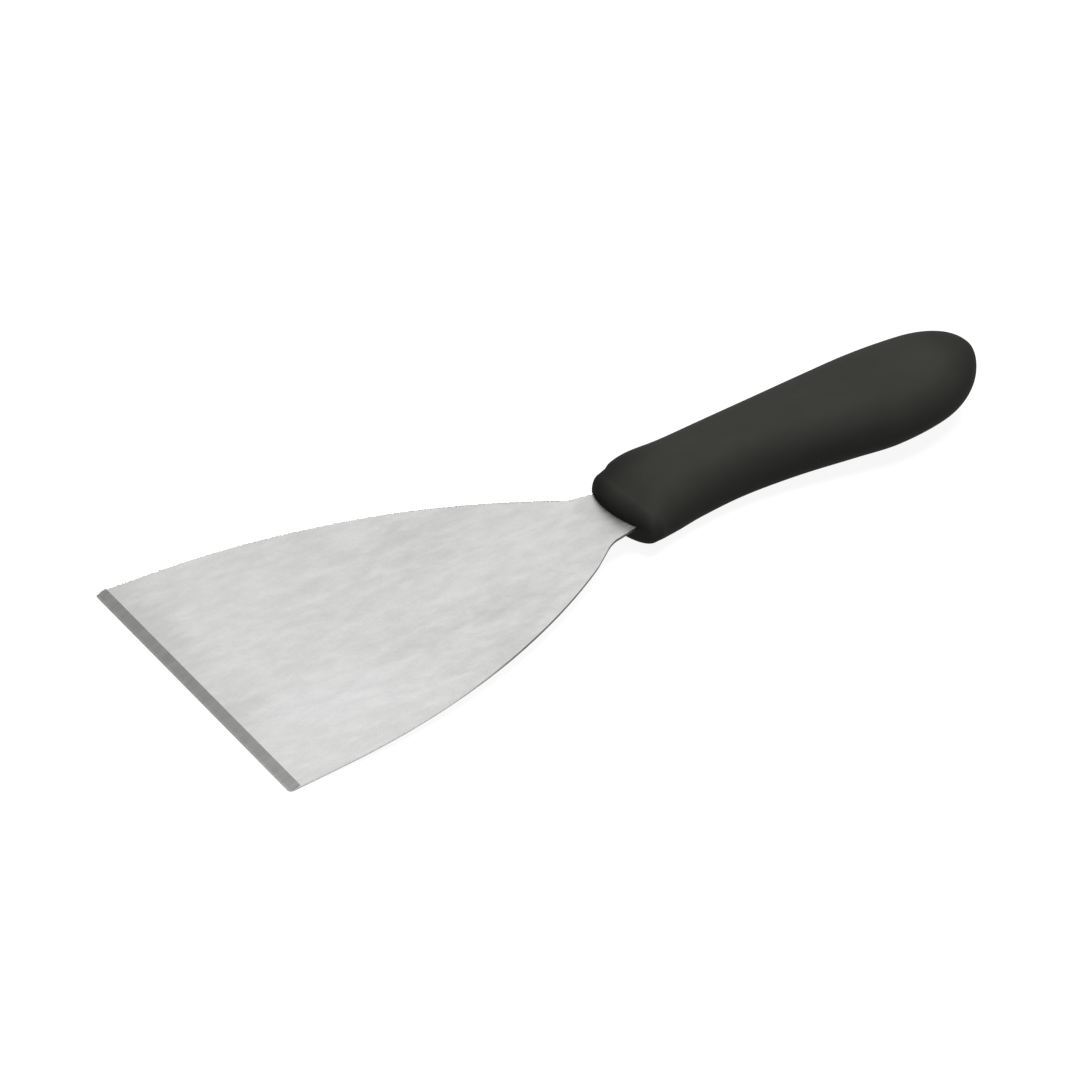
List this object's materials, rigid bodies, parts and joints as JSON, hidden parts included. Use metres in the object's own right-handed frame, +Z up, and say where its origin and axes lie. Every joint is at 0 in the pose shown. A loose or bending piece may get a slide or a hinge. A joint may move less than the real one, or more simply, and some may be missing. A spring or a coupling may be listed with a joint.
{
  "type": "grill spatula",
  "caption": "Flat flared steel blade with a ground front edge on a moulded black plastic handle, for turning food and scraping a grill.",
  "frame": {"origin": "centre of the bounding box in X and Y, at the table the tool lies on (z = 0)", "axes": "+X along the tool from the cutting edge to the handle's rear end, +Y to the straight spine side of the handle, +Z up from the table. The tool lies as it rests, so its blade slopes up towards the handle by 3.66 degrees."},
  "size_m": [0.238, 0.1014, 0.0252],
  "materials": {
    "steel": "satin, faintly brushed",
    "core_plastic": "as moulded",
    "grip_plastic": "fine satin texture"
  },
  "bodies": {
    "root": {"blade": "steel", "handle_core": "core_plastic", "handle_grip": "grip_plastic"}
  },
  "joints": []
}
